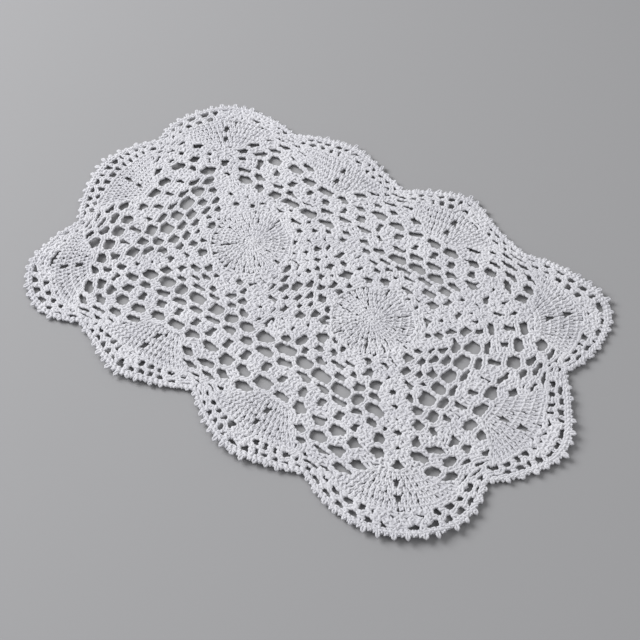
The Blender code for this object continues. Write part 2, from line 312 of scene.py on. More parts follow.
# %% [markdown]
# Two threads' worth of shape make nearly every stitch. A link is one loop of chain, narrow where it
# comes out of the last loop and wide where the next one passes through it. It also serves as the
# head of a taller stitch. A post is the upright of a stitch, whose strands wind round each other.
# Each is a short list of places along a thread, so it has only a few dozen faces when it is round.

# %% The shapes of a stitch
# along: share of the way from start to end; across: share of the half width; lift: in mm.
LINK = np.array((
    (-0.17, 0.0, -0.34), (0.12, 0.50, 0.02), (0.48, 0.95, 0.24), (0.84, 0.82, 0.10),
    (1.08, 0.0, -0.36), (0.84, -0.82, 0.10), (0.48, -0.95, 0.24), (0.12, -0.50, 0.02),
))
CORE = np.array(((-0.12, 0.0, -0.30), (0.5, 0.0, -0.22), (1.12, 0.0, -0.30)))
WRAP = np.array(((0.34, -0.85, -0.05), (0.42, -0.35, 0.42), (0.52, 0.35, 0.42), (0.60, 0.85, -0.05)))
POST_POINTS, POST_TURN = 5, 110  # places on a strand of a post, and degrees that it winds round
POST_START, POST_LONG = -0.05, 1.08  # where it starts and how long it is
POST_WIDE, POST_DEEP = 0.5, 0.42  # how far it swings across and up


def post_strand(turned):
    """One of the two strands of a post, which starts this many degrees round it."""
    s = np.linspace(0, 1, POST_POINTS)
    angle = np.radians(turned + POST_TURN * s)
    swing = POST_WIDE * np.cos(angle), POST_DEEP * np.sin(angle)
    return np.stack([POST_START + POST_LONG * s, *swing], axis=1)


POST = (post_strand(-55), post_strand(125), WRAP)
print("a link has", len(LINK), "places")

# %% [markdown]
# Stitches are laid many at a time, from arrays of starts and ends. Hand work is never quite even, so
# each is moved and sized a little, by numbers from one seed, so that every run is the same.

# %% Laying stitches
THREAD = 0.68  # half the thickness of the cotton as it lies
MIDDLE = 1.15  # height of the middle of the fabric
LINK_PITCH, POST_PITCH = 2.8, 2.75  # from one link or post to the next
SNUG = 1.07  # how much wider a post is than its place, so that a row is closed
UNEVEN = 0.05  # how much the widths of stitches differ, as a share
POST_HALVES = (0.8, 1.9)  # the least and the most half width of a post
STRAND_SHARE, STRAND_HALVES = 0.54, (0.5, 0.8)  # half a strand's thickness: as a share of that, limits


def lay(threads, shape, starts, ends, half_start, half_end, thick, lift=0.0, closed=False):
    """Lays one thread of this shape at each start, towards its end."""
    way = ends - starts
    sides = np.stack([-way[:, 1], way[:, 0]], axis=1) / np.linalg.norm(way, axis=1)[:, None]
    share = np.clip(shape[:, 0], 0, 1)
    half = half_start[:, None] + (half_end - half_start)[:, None] * share
    flat = starts[:, None] + way[:, None] * shape[:, 0, None]
    flat = flat + sides[:, None] * (half * shape[:, 1])[:, :, None]
    height = MIDDLE + lift + shape[:, 2] * np.ones((len(starts), 1))
    threads.append((np.dstack([flat, height]), thick * np.ones(len(starts)), closed))


def posts(threads, bases, tops, half_base, half_top, loose=0.12):
    """The uprights of some stitches, each a little out of place as hand work is."""
    half_base = half_base * chance.normal(1, UNEVEN, len(bases))
    half_top = half_top * np.ones(len(bases))
    tops = tops + chance.normal(0, loose, tops.shape)
    thick = np.clip(0.5 * (half_base + half_top) * STRAND_SHARE, *STRAND_HALVES)
    for strand in POST:
        lay(threads, strand, bases, tops, half_base, half_top, thick)


def links(threads, path, half=0.86, thick=THREAD, lift=0.16, loose=0.08):
    """A link of chain from each point of a path to the next."""
    path = np.array(path)
    path = path + chance.normal(0, loose, path.shape)
    half = half * chance.normal(1, UNEVEN, len(path) - 1)
    lay(threads, LINK, path[:-1], path[1:], half, half, thick, lift, closed=True)
    lay(threads, CORE, path[:-1], path[1:], half, half, thick, lift)


def evenly(path, pitch=LINK_PITCH):
    """Points along a path, the same distance apart and as near to pitch as they fit."""
    path = np.array(path)
    count = max(1, round(walked(path)[-1] / pitch))
    return np.array([along(path, share) for share in np.linspace(0, 1, count + 1)])


def row(threads, low, high, pitch=POST_PITCH, count=None, loose=0.15, snug=SNUG):
    """A row of stitches side by side, from one line to another."""
    low, high = np.array(low), np.array(high)
    count = count or max(1, round(walked(high)[-1] / pitch))
    shares = (np.arange(count) + 0.5) / count
    bases, tops = (np.array([along(line, share) for share in shares]) for line in (low, high))
    room = (walked(line)[-1] / count * snug / 2 for line in (low, high))
    half_base, half_top = (max(POST_HALVES[0], half) for half in room)
    posts(threads, bases, tops, half_base, half_top, loose)


print("links are", LINK_PITCH, "mm apart")

# %% [markdown]
# A line is not yet a thread. Geometry Nodes turn each line into a curve and sweep a small round
# profile along it. Two named attributes are kept for the cotton's twist: how far along the thread a
# point is, and on which side of it. The result is applied, so the piece is plain mesh.

# %% From lines to round threads
SIDES = 5  # of a thread: few, because there are thousands of stitches


def round_thread_nodes():
    """A node group that makes every line of a mesh a round thread, as thick as it says."""
    tree = bpy.data.node_groups.new("round_thread", "GeometryNodeTree")
    for way in ("INPUT", "OUTPUT"):
        tree.interface.new_socket("Geometry", in_out=way, socket_type="NodeSocketGeometry")

    def new(kind, **values):
        node = tree.nodes.new(kind)
        for socket, value in values.items():
            node.inputs[socket.replace("_", " ")].default_value = value
        return node

    entry, leave = new("NodeGroupInput"), new("NodeGroupOutput")
    curve = new("GeometryNodeMeshToCurve")
    length, place = new("GeometryNodeSplineParameter"), new("GeometryNodeInputPosition")
    keep_length = new("GeometryNodeStoreNamedAttribute", Name="along_thread")
    profile = new("GeometryNodeCurvePrimitiveCircle", Resolution=SIDES, Radius=1.0)
    keep_side = new("GeometryNodeStoreNamedAttribute", Name="round_thread")
    keep_side.data_type = "FLOAT_VECTOR"
    thick = new("GeometryNodeInputNamedAttribute", Name="thick")
    sweep = new("GeometryNodeCurveToMesh", Fill_Caps=True)
    smooth = new("GeometryNodeSetShadeSmooth")
    for start, output, end, socket in (
        (entry, "Geometry", curve, "Mesh"),
        (curve, "Curve", keep_length, "Geometry"),
        (length, "Length", keep_length, "Value"),
        (profile, "Curve", keep_side, "Geometry"),
        (place, "Position", keep_side, "Value"),
        (keep_length, "Geometry", sweep, "Curve"),
        (keep_side, "Geometry", sweep, "Profile Curve"),
        (thick, "Attribute", sweep, "Scale"),
        (sweep, "Mesh", smooth, "Geometry"),
        (smooth, "Geometry", leave, "Geometry"),
    ):
        tree.links.new(start.outputs[output], end.inputs[socket])
    return tree


ROUND_THREAD = round_thread_nodes()
print("the round thread has", len(ROUND_THREAD.nodes), "nodes")

# %% [markdown]
# A piece of the doily is one mesh: all the lines that were laid for it, made round. Cloth never lies
# quite flat, so its points are lifted a little, in soft waves that grow towards the rim.

# %% One piece of the doily
HALF_SIZE = (0.150, 0.102)  # of the doily, in metres
SOFT_WAVES = ((61, 23, 0.7), (-31, 47, 1.9))  # radians a metre along X and Y, and where each starts
RIM_WAVES, RIM_START, RIM_FROM = 9, 0.6, 0.55  # how many, in radians, and as a share of the way out
SOFT_RISE, RIM_RISE = 0.35 * MM, 1.6 * MM


def rise(x, y):
    """How far the cloth lies off the table, in metres: soft waves, more at the rim."""
    r = np.hypot(x / HALF_SIZE[0], y / HALF_SIZE[1])
    first, second = (np.sin(a * x + b * y + start) for a, b, start in SOFT_WAVES)
    rim = np.clip(r - RIM_FROM, 0, None) * (1 + np.sin(RIM_WAVES * np.arctan2(y, x) + RIM_START))
    return SOFT_RISE * (1 + first * second) + RIM_RISE * rim


def crochet(name, threads, material):
    """One piece of the doily, of all the threads that were laid for it."""
    lines = bpy.data.meshes.new(name)
    places, edges, thick, first = [], [], [], 0
    for points, size, closed in threads:
        count, per_thread, _ = points.shape
        index = first + np.arange(count * per_thread).reshape(count, per_thread)
        pairs = np.stack([index, np.roll(index, -1, axis=1)], axis=2)
        edges.append((pairs if closed else pairs[:, :-1]).reshape(-1, 2))
        places.append(points.reshape(-1, 3))
        thick.append(np.repeat(size, per_thread))
        first += count * per_thread
    lines.from_pydata(np.vstack(places) * MM, np.vstack(edges), [])
    lines.attributes.new("thick", "FLOAT", "POINT").data.foreach_set("value", np.hstack(thick) * MM)
    piece = bpy.data.objects.new(name, lines)
    bpy.context.scene.collection.objects.link(piece)
    piece.modifiers.new("round thread", "NODES").node_group = ROUND_THREAD
    seen = piece.evaluated_get(bpy.context.evaluated_depsgraph_get())
    piece.data = mesh = bpy.data.meshes.new_from_object(seen)
    mesh.name = name
    piece.modifiers.clear()
    bpy.data.meshes.remove(lines)
    mesh.materials.clear()
    mesh.materials.append(material)
    co = np.empty(len(mesh.vertices) * 3)
    mesh.vertices.foreach_get("co", co)
    co = co.reshape(-1, 3)
    co[:, 2] += rise(co[:, 0], co[:, 1])
    mesh.vertices.foreach_set("co", co.ravel())
    mesh.update()
    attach(piece, "root")
    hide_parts("doily")
    triangles = sum(len(face.vertices) - 2 for face in mesh.polygons)
    print(f"{name}: {triangles} triangles, up to {co[:, 2].max() / MM:.2f} mm above the table")


print(f"the cloth's middle is {rise(0, 0) / MM:.2f} mm off the table")

# %% [markdown]
# The cotton is bleached, matt and a little cool. Its colour hardly changes, so the light in the
# gaps does the drawing. Three plies wind along the thread: a wave in the bump, made from the two
# attributes, and noise on top of it stands for the short fibres.

# %% Bleached cotton
PLIES, PLY_TURN = 3, 2.6  # plies in the thread, and mm for one of them to go once round
PLY_POWER = 0.6  # below 1 a ply is plump, with a narrow groove beside it
FUZZ = 0.8  # height of the short fibres beside that of a ply
SHADE = {"Roughness": 0.93, "Specular IOR Level": 0.18, "Sheen Weight": 0.1, "Sheen Roughness": 0.6}


def cotton():
    material = bpy.data.materials.new("bleached_cotton")
    material.use_nodes = True
    tree = material.node_tree
    new, link = tree.nodes.new, tree.links.new
    shader = tree.nodes["Principled BSDF"]
    for socket, value in SHADE.items():
        shader.inputs[socket].default_value = value

    def math_node(kind, first, second=None):
        node = new("ShaderNodeMath")
        node.operation = kind
        for socket, value in zip(node.inputs, (first, second)):
            if isinstance(value, (int, float)):
                socket.default_value = value
            elif value is not None:
                link(value, socket)
        return node.outputs[0]

    side, length = new("ShaderNodeAttribute"), new("ShaderNodeAttribute")
    side.attribute_name, length.attribute_name = "round_thread", "along_thread"
    parts = new("ShaderNodeSeparateXYZ")
    link(side.outputs["Vector"], parts.inputs[0])
    angle = math_node("ARCTAN2", parts.outputs["Y"], parts.outputs["X"])
    turn = math_node("MULTIPLY", length.outputs["Fac"], 2 * math.pi / (PLY_TURN * MM))
    wave = math_node("SINE", math_node("ADD", math_node("MULTIPLY", angle, PLIES), turn))
    ply = math_node("POWER", math_node("ABSOLUTE", wave), PLY_POWER)

    where = new("ShaderNodeTexCoord")
    fuzz, cloud = new("ShaderNodeTexNoise"), new("ShaderNodeTexNoise")
    for noise, scale, detail in ((fuzz, 2600, 3), (cloud, 60, 2)):
        link(where.outputs["Object"], noise.inputs["Vector"])
        noise.inputs["Scale"].default_value = scale
        noise.inputs["Detail"].default_value = detail
    height = math_node("ADD", ply, math_node("MULTIPLY", fuzz.outputs["Fac"], FUZZ))
    bump = new("ShaderNodeBump")
    bump.inputs["Strength"].default_value = 0.7
    bump.inputs["Distance"].default_value = 0.12 * MM
    link(height, bump.inputs["Height"])
    link(bump.outputs["Normal"], shader.inputs["Normal"])

    ramp = new("ShaderNodeValToRGB")
    ramp.color_ramp.elements[0].position, ramp.color_ramp.elements[1].position = 0.35, 0.7
    ramp.color_ramp.elements[0].color = (0.62, 0.62, 0.66, 1.0)
    ramp.color_ramp.elements[1].color = (0.70, 0.70, 0.735, 1.0)
    link(cloud.outputs["Fac"], ramp.inputs["Fac"])
    link(ramp.outputs["Color"], shader.inputs["Base Color"])
    return material


COTTON = cotton()
print("cotton has", len(COTTON.node_tree.nodes), "nodes")

# %% [markdown]
# Each round medallion starts from a ring in the middle. Five rounds of stitches follow, in groups,
# with a narrow slit between one group and the next in the outer three.

# %% The medallions
MEDALLIONS = {"left": (-45.5, 3.5), "right": (35, 1.5)}
MEDALLION_RADIUS = 21.0
MEDALLION_ROUNDS = (
    # inner radius, outer radius, groups, stitches in a group, share of a group's room that is its slit
    (1.8, 5.2, 4, 3, 0.0),
    (4.8, 9.2, 6, 4, 0.0),
    (8.8, 13.2, 8, 4, 0.13),
    (12.8, 17.2, 10, 4, 0.10),
    (16.8, MEDALLION_RADIUS + 0.6, 13, 4, 0.13),
)
RING_RADIUS, RING_HALF, RING_LINKS = 1.6, 0.5, 5  # the ring, and half the width of its links
TURN_VARIES, LEAN_VARIES, TALL_VARIES = 0.015, 0.02, 0.3  # of groups: in radians, and the last in mm
SLIT_VARIES = (0.3, 1.4)  # the least and the most of a slit, as shares of its round's


def circle(centre, radius, angles):
    return np.array(centre) + BOX_SHIFT + radius * np.stack([np.cos(angles), np.sin(angles)], axis=1)


for motif, centre in MEDALLIONS.items():
    threads = []
    ring_angles = np.radians(np.linspace(0, 360, RING_LINKS + 1))
    links(threads, circle(centre, RING_RADIUS, ring_angles), half=RING_HALF)
    for number, (inner, outer, groups, stitches, slit) in enumerate(MEDALLION_ROUNDS):
        room = math.radians(360 / groups)
        for group in range(groups):
            middle = group * room + number + chance.normal(0, TURN_VARIES)
            lean = chance.normal(0, LEAN_VARIES)
            across = np.linspace(0.5, -0.5, 7) * room
            low = circle(centre, inner, middle + lean + across * (1 - slit * chance.uniform(*SLIT_VARIES)))
            high = circle(centre, outer + chance.normal(0, TALL_VARIES), middle - lean + across)
            row(threads, low, high, count=stitches, loose=0.4, snug=1.0)
    crochet(motif + "_medallion", threads, COTTON)

# %% [markdown]
# Between the medallions and the fans, the pattern is easiest to read by its holes, as on a charted
# lace pattern. The netting is so uneven that its holes were read off the photo one by one: the place
# of each, and its width and height. The loops of the first straight round are in it too.

# %% The chart of the netting
NET_CHART = (
    # the loops of the first straight round: back, right, front, left
    (-78, 35.3, 6.5, 3), (-68, 35, 6, 4.5), (-57.5, 36.5, 6, 4), (-46.5, 37.5, 8, 2.5),
    (-34.5, 37.5, 8, 3.5), (-22.5, 38.3, 8, 3), (-10, 39.7, 6, 1.5), (0.5, 40.5, 7, 1.8),
    (10.7, 40, 6, 3.5), (21.5, 41.3, 8.5, 3.5), (33, 42.5, 9, 3.5), (44.5, 43, 9, 3.5),
    (55.5, 44.3, 8.5, 1.5), (63, 40.5, 2.5, 2), (74, 39.5, 1.5, 1.5), (71.2, 36.5, 2.5, 2),
    (80, 28.7, 2.5, 5), (83, 18, 7.5, 8), (84.2, 7, 6, 7.5), (83.7, -2.5, 6, 6.5),
    (84.3, -11.8, 6.5, 4.5), (84.5, -20.4, 6.5, 6), (83.8, -28.5, 4.5, 3.5), (79.5, -38, 1.5, 1.5),
    (68.5, -40, 8.5, 3.5), (58.7, -40.5, 6, 5.5), (49.5, -41, 9, 5), (36.5, -40.3, 10, 5),
    (25.5, -39.3, 9, 5), (13.5, -39, 10, 3), (0.5, -39.3, 8.5, 5), (-10.3, -40.3, 6.5, 4),
    (-19.3, -41, 6, 4.5), (-29.3, -41.5, 6.5, 5), (-41.5, -42.5, 8, 4), (-51.8, -43.2, 6.5, 5.5),
    (-61, -44.2, 7, 5.5), (-70.8, -46.3, 7, 4.5), (-80.5, -45.8, 3, 2.5), (-82.8, -35.5, 3, 5.5),
    (-83.5, -27, 5.5, 6), (-86.5, -17, 6.5, 7), (-88.7, -7, 5.5, 5.5), (-91, 3, 6, 7),
    (-92.3, 13, 6.5, 6.5), (-93, 22.3, 2.5, 6), (-88.3, 32.8, 3.5, 2.5),
    # the netting: at the back
    (-64, 31, 2, 1), (-54, 32.5, 2, 2), (-43, 33, 2.5, 1.5), (-30.5, 32.7, 3, 1.5),
    (-18.5, 34, 4, 1.5), (-9, 34.3, 3.5, 1.2), (5.5, 35.7, 4.5, 1), (17.5, 35.7, 5, 1.2),
    (28, 37.2, 7, 1.2), (41, 38, 7, 2), (53, 39, 6, 3.5), (-68.5, 26, 2.5, 1.5), (-58.5, 27.7, 3, 2.2),
    (-48, 29.8, 5, 2), (-36, 29, 6, 1), (-24.8, 30, 3.5, 3.5), (-16.7, 29, 1.5, 2),
    (-11.2, 25.5, 1, 5), (-3.7, 25, 1.5, 5), (3.7, 29.5, 2.5, 3.5), (12.5, 31.8, 5, 2),
    (22.5, 33, 4, 1.5), (34, 34.2, 6, 1), (47, 33.5, 6.5, 2.5), (58.5, 34.5, 3.5, 4.5),
    (-62, 23.3, 3.5, 1.5), (-30.5, 25, 3, 1.5), (-22.5, 22.5, 2.5, 1), (18, 28.3, 5, 2.5),
    (28, 30.7, 3, 1), (25, 25.5, 5.5, 2), (38, 28, 6, 1.3), (46, 26.2, 4, 2), (53.5, 28.5, 6, 3.5),
    (66.7, 31, 3, 4), (10, 24.5, 2, 3), (-37.5, 23, 2, 1.5), (-28, 17.5, 2, 3.5), (18, 21, 4, 2.5),
    (26, 19, 3, 2), (41, 21.5, 2.5, 3.5), (48.5, 21.5, 2.5, 2.5), (62, 23, 2.5, 1.5), (57, 17.5, 3, 4),
    # at the left end
    (-86, 19, 3.5, 3), (-85, 9, 4.5, 5), (-84, -1.5, 4.5, 5.5), (-81.8, -11, 4, 5.5),
    (-78.3, -20.8, 4.5, 5.5), (-77.3, -30.5, 3.5, 4.5), (-82.8, 28, 2.5, 3), (-76, -40.2, 2, 1.3),
    (-80.5, 14.5, 3, 4.5), (-79.3, 5, 2.5, 5), (-78, -5, 2.5, 5), (-75.3, -14.7, 4, 5),
    (-72.3, -23, 2.2, 4.5), (-69.8, -32, 2.5, 3.5), (-77, 23, 3, 3.5), (-74.7, 10.5, 3.5, 4),
    (-75.3, 2, 1.5, 3.5), (-72.6, -8.8, 1.5, 3.5), (-68.3, -17, 3.2, 4.5), (-65.2, -25, 3, 2),
    (-70, 18.8, 3, 3), (-69.8, 5, 2, 2), (-69.5, -1, 3.2, 4.5), (-65.7, -12, 4, 2.5),
    (-60.5, -18.2, 3.5, 4), (-63, 16.3, 2, 2.5),
    # at the front
    (-67, -39, 5, 4), (-56.7, -37.8, 4.5, 2.5), (-45.7, -36.8, 6, 1.2), (-35.3, -36.5, 5, 2),
    (-25.5, -34.7, 3.5, 2.5), (-17, -34.8, 4.5, 3.5), (-9.2, -33.8, 1, 3.5), (9.5, -34.2, 4.5, 2.5),
    (21.2, -33.5, 4, 4), (31.5, -33.7, 5, 2), (44, -35.3, 5, 3), (55.2, -34.5, 5, 3.5),
    (64.5, -34, 5.5, 1.8), (74.7, -33, 3, 2), (-61.2, -33.3, 4, 5), (-50.7, -33.3, 4.5, 1.5),
    (-39.7, -33, 4, 3), (-30, -30.3, 4, 4), (-22, -29.3, 4, 4.5), (-13.5, -27, 1.5, 1),
    (-3.8, -31, 1.5, 5.5), (15.7, -29.3, 3.5, 6), (26.3, -28.5, 6, 3.5), (38.5, -30.5, 6.5, 2),
    (50, -30.5, 5.5, 5), (60, -28.3, 6, 5), (69.5, -27, 3.5, 3), (-56.5, -28, 5.5, 4.5),
    (-46.8, -29.7, 5.5, 1.5), (-26.7, -24.8, 4, 3), (-7, -24.5, 1.7, 4), (0.4, -25.3, 2, 2.2),
    (7.8, -27.3, 3, 2.5), (22.7, -23, 5.5, 4.5), (33, -26, 4.5, 2), (43.5, -26.8, 4.5, 1.2),
    (53.8, -25, 4, 3.5), (63, -21, 2.5, 1.8), (-51, -23.8, 4.5, 4.5), (-43.7, -24.5, 3, 3.5),
    (-32, -20.5, 4, 3.5), (-26.5, -17.8, 3, 2.5), (-18.5, -22, 2, 1), (12.8, -21, 2.5, 2),
    (28.7, -19, 5, 3.5), (36.3, -21.5, 4, 3.5), (49.3, -19.8, 5, 3.5), (56, -17, 5.5, 1.5),
    # at the right end
    (75, 25, 5.5, 5.5), (77.3, 14, 4.5, 5.5), (77.7, 4, 4, 5), (78, -6.5, 4, 4.5),
    (77.5, -15.3, 4, 3.5), (77.5, -24.5, 4.5, 5), (70.3, 19.8, 5.5, 5.5), (73, 9.3, 4.5, 5),
    (73.5, -0.3, 4, 5), (72.8, -9.7, 5, 5), (72.5, -18.6, 5.5, 2.2), (66.3, 14.5, 4.5, 3.5),
    (68.9, 5, 1.5, 4), (69.5, -4.2, 2.5, 4.5), (66.8, -13.7, 5, 4.5), (62, 11, 4.5, 3),
    (64.3, 0.3, 4, 3), (62.7, -6.8, 4.5, 4), (57.5, -1.5, 2.5, 1.2),
    # between the medallions
    (-15.5, 21, 2.5, 4), (-8, 20, 3, 2.5), (1.7, 21.3, 4, 4), (-19, 15.5, 3, 3), (-10.7, 15, 3.5, 4),
    (-2.7, 16.3, 3, 3.5), (8, 16.7, 5.5, 4), (-22, 11.7, 2.5, 3), (-14.5, 11.5, 2, 2.5),
    (-6.2, 11, 3.5, 4), (2.2, 11.8, 3.5, 4), (13, 11.7, 3, 3), (-10, 6.3, 3.5, 2.5),
    (-1.9, 7, 2.5, 4.5), (6.4, 6.7, 2, 5.5), (11.5, 4.8, 3.5, 4), (-19.5, 0, 2, 5.5),
    (-12.2, 1, 3, 2.8), (-3.8, 0.7, 2.2, 5.5), (2.9, 1.3, 3.3, 5.5), (-15.3, -5, 2, 5.5),
    (-7.3, -4.3, 4, 6.5), (1, -5.3, 1.7, 5), (7.7, -4.2, 2.5, 4), (14.2, -6.8, 3.5, 4.7),
    (-21, -8, 2.5, 2.5), (-11.8, -9.5, 4, 5.3), (-2.3, -10.3, 2.7, 4), (5.5, -9.5, 2, 4),
    (-17.8, -14, 2.5, 4), (-7.5, -14.7, 4.5, 5.2), (1.5, -14.8, 2.5, 4), (11, -13.5, 3.3, 4.5),
    (18.3, -13.2, 5, 6), (-12, -19, 5, 3), (-3, -20.3, 2.3, 3.7), (5.8, -18.8, 4.2, 4),
)
print(len(NET_CHART), "holes charted in the netting")

# %% [markdown]
# The straight rounds frame the netting: after its loops come a ladder of bars, solid blocks with
# slots between them, and windows. Along the sides they are even. At the corners they are drawn
# together, so their holes there were read off the photo too.

# %% The chart of the corners
CORNER_CHART = (
    # a round, and its holes at one corner: place, length, height, and turn from +X in degrees
    ("bars", (72.3, 48, 4.2, 3.5, -10), (81.7, 43.6, 5.5, 2.4, 22), (84.3, 33.7, 8, 3, -42),
     (89, 23.2, 8.5, 2.5, -62), (91, 11.8, 7.5, 2.3, -73)),
    ("blocks", (70.7, 55, 3.4, 1, 80), (80.4, 52, 4, 1, 80), (87.8, 49.4, 3.2, 3, 0),
     (90.7, 39.6, 6.3, 2.3, 5), (94, 29.3, 3.7, 2, 0), (96.1, 17.8, 5, 2.6, 10), (98.8, 7, 4, 1.2, 8)),
    ("windows", (76.2, 61, 9, 2.6, -40), (85, 59, 5, 4.2, 0), (95, 54.2, 4, 1.5, -8),
     (96.6, 43.8, 8, 3, -48), (100.2, 34, 8.8, 3.9, -58), (103.7, 23.5, 8, 5, -65)),
    ("bars", (91.7, -26, 6.3, 4, -75), (89, -34.3, 5.3, 5, 0), (84.3, -43.5, 3.3, 3.2, 0)),
    ("blocks", (93.3, -42.3, 4.3, 4, -10), (89.5, -50.2, 2.8, 2, 0), (79.5, -51, 5, 3.5, 0)),
    ("windows", (106.4, -30.5, 5.5, 4.5, -80), (103.3, -39.4, 9, 3.8, 40), (99.3, -48, 8, 3, 18),
     (94.3, -57.3, 4.7, 4.7, 0), (83.2, -57.5, 6.8, 3, 32)),
    ("bars", (-76.3, -53.2, 5.7, 4.2, 0), (-85.5, -51.8, 3.7, 2.6, 15), (-88.1, -41, 7, 5, -75),
     (-89.8, -32.6, 4.8, 4.6, 0), (-92, -23.8, 7.3, 5.5, -70)),
    ("blocks", (-83, -58.8, 4, 2.3, -80), (-90.2, -57.9, 3.2, 2.5, 0), (-93, -49, 4, 3.2, 0),
     (-96.2, -38.6, 4.3, 2.2, 8), (-98.7, -28.9, 6, 2, 10)),
    ("windows", (-85.3, -66.5, 7, 3.4, -60), (-95.3, -62.3, 6.5, 2.8, -20),
     (-97.5, -53.8, 7, 3.2, -42), (-101.7, -45, 7.5, 3.7, -68), (-104.6, -35.4, 7.2, 5.2, -80),
     (-107.2, -26.2, 6.5, 4.3, 85)),
    ("bars", (-98.2, 27.7, 8.6, 4.4, 45), (-95.2, 38.1, 4.3, 3.2, -70), (-83.4, 41.2, 8, 2.4, 20)),
    ("blocks", (-106, 23.7, 3, 2.8, 0), (-102.7, 34.7, 3.4, 1.9, -75), (-90.2, 46.2, 4.8, 2.3, 15),
     (-79.7, 49.3, 6.8, 2.6, -62)),
    ("windows", (-113.5, 19.5, 7, 4, 80), (-110.8, 29.3, 7, 3, 65), (-106.8, 37.7, 4.6, 1.2, 38),
     (-94, 51.3, 6, 1.3, 48), (-85.3, 56, 8, 2.2, 40)),
)
print(sum(len(rows) for _, *rows in CORNER_CHART), "holes charted at the corners")

# %% [markdown]
# Along the sides, a hole takes the room of its cell less the cloth round it. Where a corner is
# charted, the rule leaves the round alone.

# %% The holes of the straight rounds
BAND = {"loops": 0.25, "bars": 0.455, "blocks": 0.705, "windows": 0.985}  # how far out each round ends
BEFORE = {"bars": "loops", "blocks": "bars", "windows": "blocks"}
MIDDLES = {kind: (BAND[before] + BAND[kind]) / 2 for kind, before in BEFORE.items()}
POST_ROOM = 2.7  # cloth between two holes of a round
RING_ROOM = {"bars": 3.2, "blocks": 3.3, "windows": 3.9}  # cloth between a round's holes and the next's
SLOT, END_SLOT = 4.2, 3.0  # between two blocks on the long sides, and at the ends, which are drawn in
SIDE_TO_END = (70, 85)  # along X, where the one turns into the other
BESIDE_CHART = 0.7  # cells beside the charted ones where the rule leaves the round alone too
# Threads lap over a hole's rim, so holes are made larger than they look on the photo.
NET_OPEN, CORNER_OPEN = 1.27, 1.08  # how much larger, in the netting and at the corners
LEAST = 2.0  # the smallest size of a charted hole
ASTRAY, HOLE_VARIES = 0.35, 0.1  # how far a hole lies from its rule's place, and how its sizes differ


def charted(kind, row, opened, turn=0):
    """A hole from a chart: its kind, place, way along the round, and half sizes."""
    x, y, *size = row
    way = np.array((math.cos(math.radians(turn)), math.sin(math.radians(turn))))
    return kind, np.array((x, y)) + BOX_SHIFT, way, [max(side * opened, LEAST) / 2 for side in size]


def band_hole(kind, t, length=None):
    """A hole of a straight round by the rule, said in the same way."""
    way = band_point(t + 0.5, MIDDLES[kind]) - band_point(t - 0.5, MIDDLES[kind])
    pitch = np.linalg.norm(way)
    tall = np.linalg.norm(band_point(t, BAND[kind]) - band_point(t, BAND[BEFORE[kind]]))
    room = length or pitch - POST_ROOM, tall - RING_ROOM[kind]
    halves = [size * chance.normal(1, HOLE_VARIES) / 2 for size in room]
    return kind, band_point(t, MIDDLES[kind]) + chance.normal(0, ASTRAY, 2), way / pitch, halves


holes = [charted("net", row, NET_OPEN) for row in NET_CHART]
taken = []
tries = np.arange(0, CELLS, 0.1)  # places to look for the cell of a charted hole
for kind, *rows in CORNER_CHART:
    line = np.array([band_point(t, MIDDLES[kind]) for t in tries])
    cells = []
    for *hole, turn in rows:
        holes.append(charted(kind, hole, CORNER_OPEN, turn))
        cells.append(tries[np.linalg.norm(line - holes[-1][1], axis=1).argmin()])
    taken.append((kind, min(cells) - BESIDE_CHART, max(cells) + BESIDE_CHART))
for t in range(CELLS):
    for kind, cell in (("bars", t), ("blocks", t + 0.5), ("windows", t)):
        if not any(kind == round_ and first < cell < last for round_, first, last in taken):
            slot = np.interp(abs(band_point(cell, 0.5)[0]), SIDE_TO_END, (SLOT, END_SLOT))
            holes.append(band_hole(kind, cell, slot if kind == "blocks" else None))
print(len(holes), "holes in the netting and the straight rounds")

# %% [markdown]
# Between two fans hang loops of chain, one fewer on each round, until the fans meet. Then two rounds
# of open mesh run round the whole doily. Their holes follow a rule too, but for some cells of the
# first mesh round near the tips, which are worked shut.

# %% The holes of the loops and the mesh rounds
FIRST_FAN_SHARE = 0.32  # where the first loop starts, as a share of a half scallop
LOOP_ROUNDS = ("windows", "fan_1", "fan_2", "fan_3", "mesh_1")
MESH_CELLS = 14  # along a scallop
MESH_REACH = 0.86  # how far from the axis the first mesh round reaches
LOOP_ROOM, LOOP_RING_ROOM = 3.4, 3.8  # cloth beside a loop's hole and above it
MESH_ROOM, MESH_RING_ROOM = 2.1, 2.0  # the same for the mesh
MESH_CORNER = 0.7  # more of both at a corner, whose longer arch has as many holes
LOOPS_CLOSER = 1.3  # more above a loop's hole at the back, where the doily is drawn in
FRONT_TO_BACK = (-30, 50)  # along Y, where that grows from nothing to its full size
# The cells of each scallop's first mesh round that are worked shut, read off the photo: from the
# first of them up to the next open one.
MESH_SHUT = ((6, 9), (6, 10), (6, 9), (5, 9), (5, 8), (6, 8), (6, 8), (6, 10), (0, 0), (6, 12))
FAN_HOLE_VARIES, LEAST_ROOM = 0.12, 0.9  # how the sizes of these holes differ, and the smallest size


def fan_hole(kind, scallop, v, cell, low, high, beside, above):
    """A hole between two rounds of a scallop, in a cell this wide."""
    left, here, right = (
        (fan_point(scallop, v + move, low) + fan_point(scallop, v + move, high)) / 2
        for move in (-cell / 2, 0, cell / 2)
    )
    pitch = np.linalg.norm(right - left)
    tall = np.linalg.norm(fan_point(scallop, v, high) - fan_point(scallop, v, low)) - above
    sizes = [size * chance.normal(1, FAN_HOLE_VARIES) for size in (pitch - beside, tall)]
    halves = [max(size, LEAST_ROOM) / 2 for size in sizes]
    return kind, here + chance.normal(0, ASTRAY, 2), (right - left) / pitch, halves


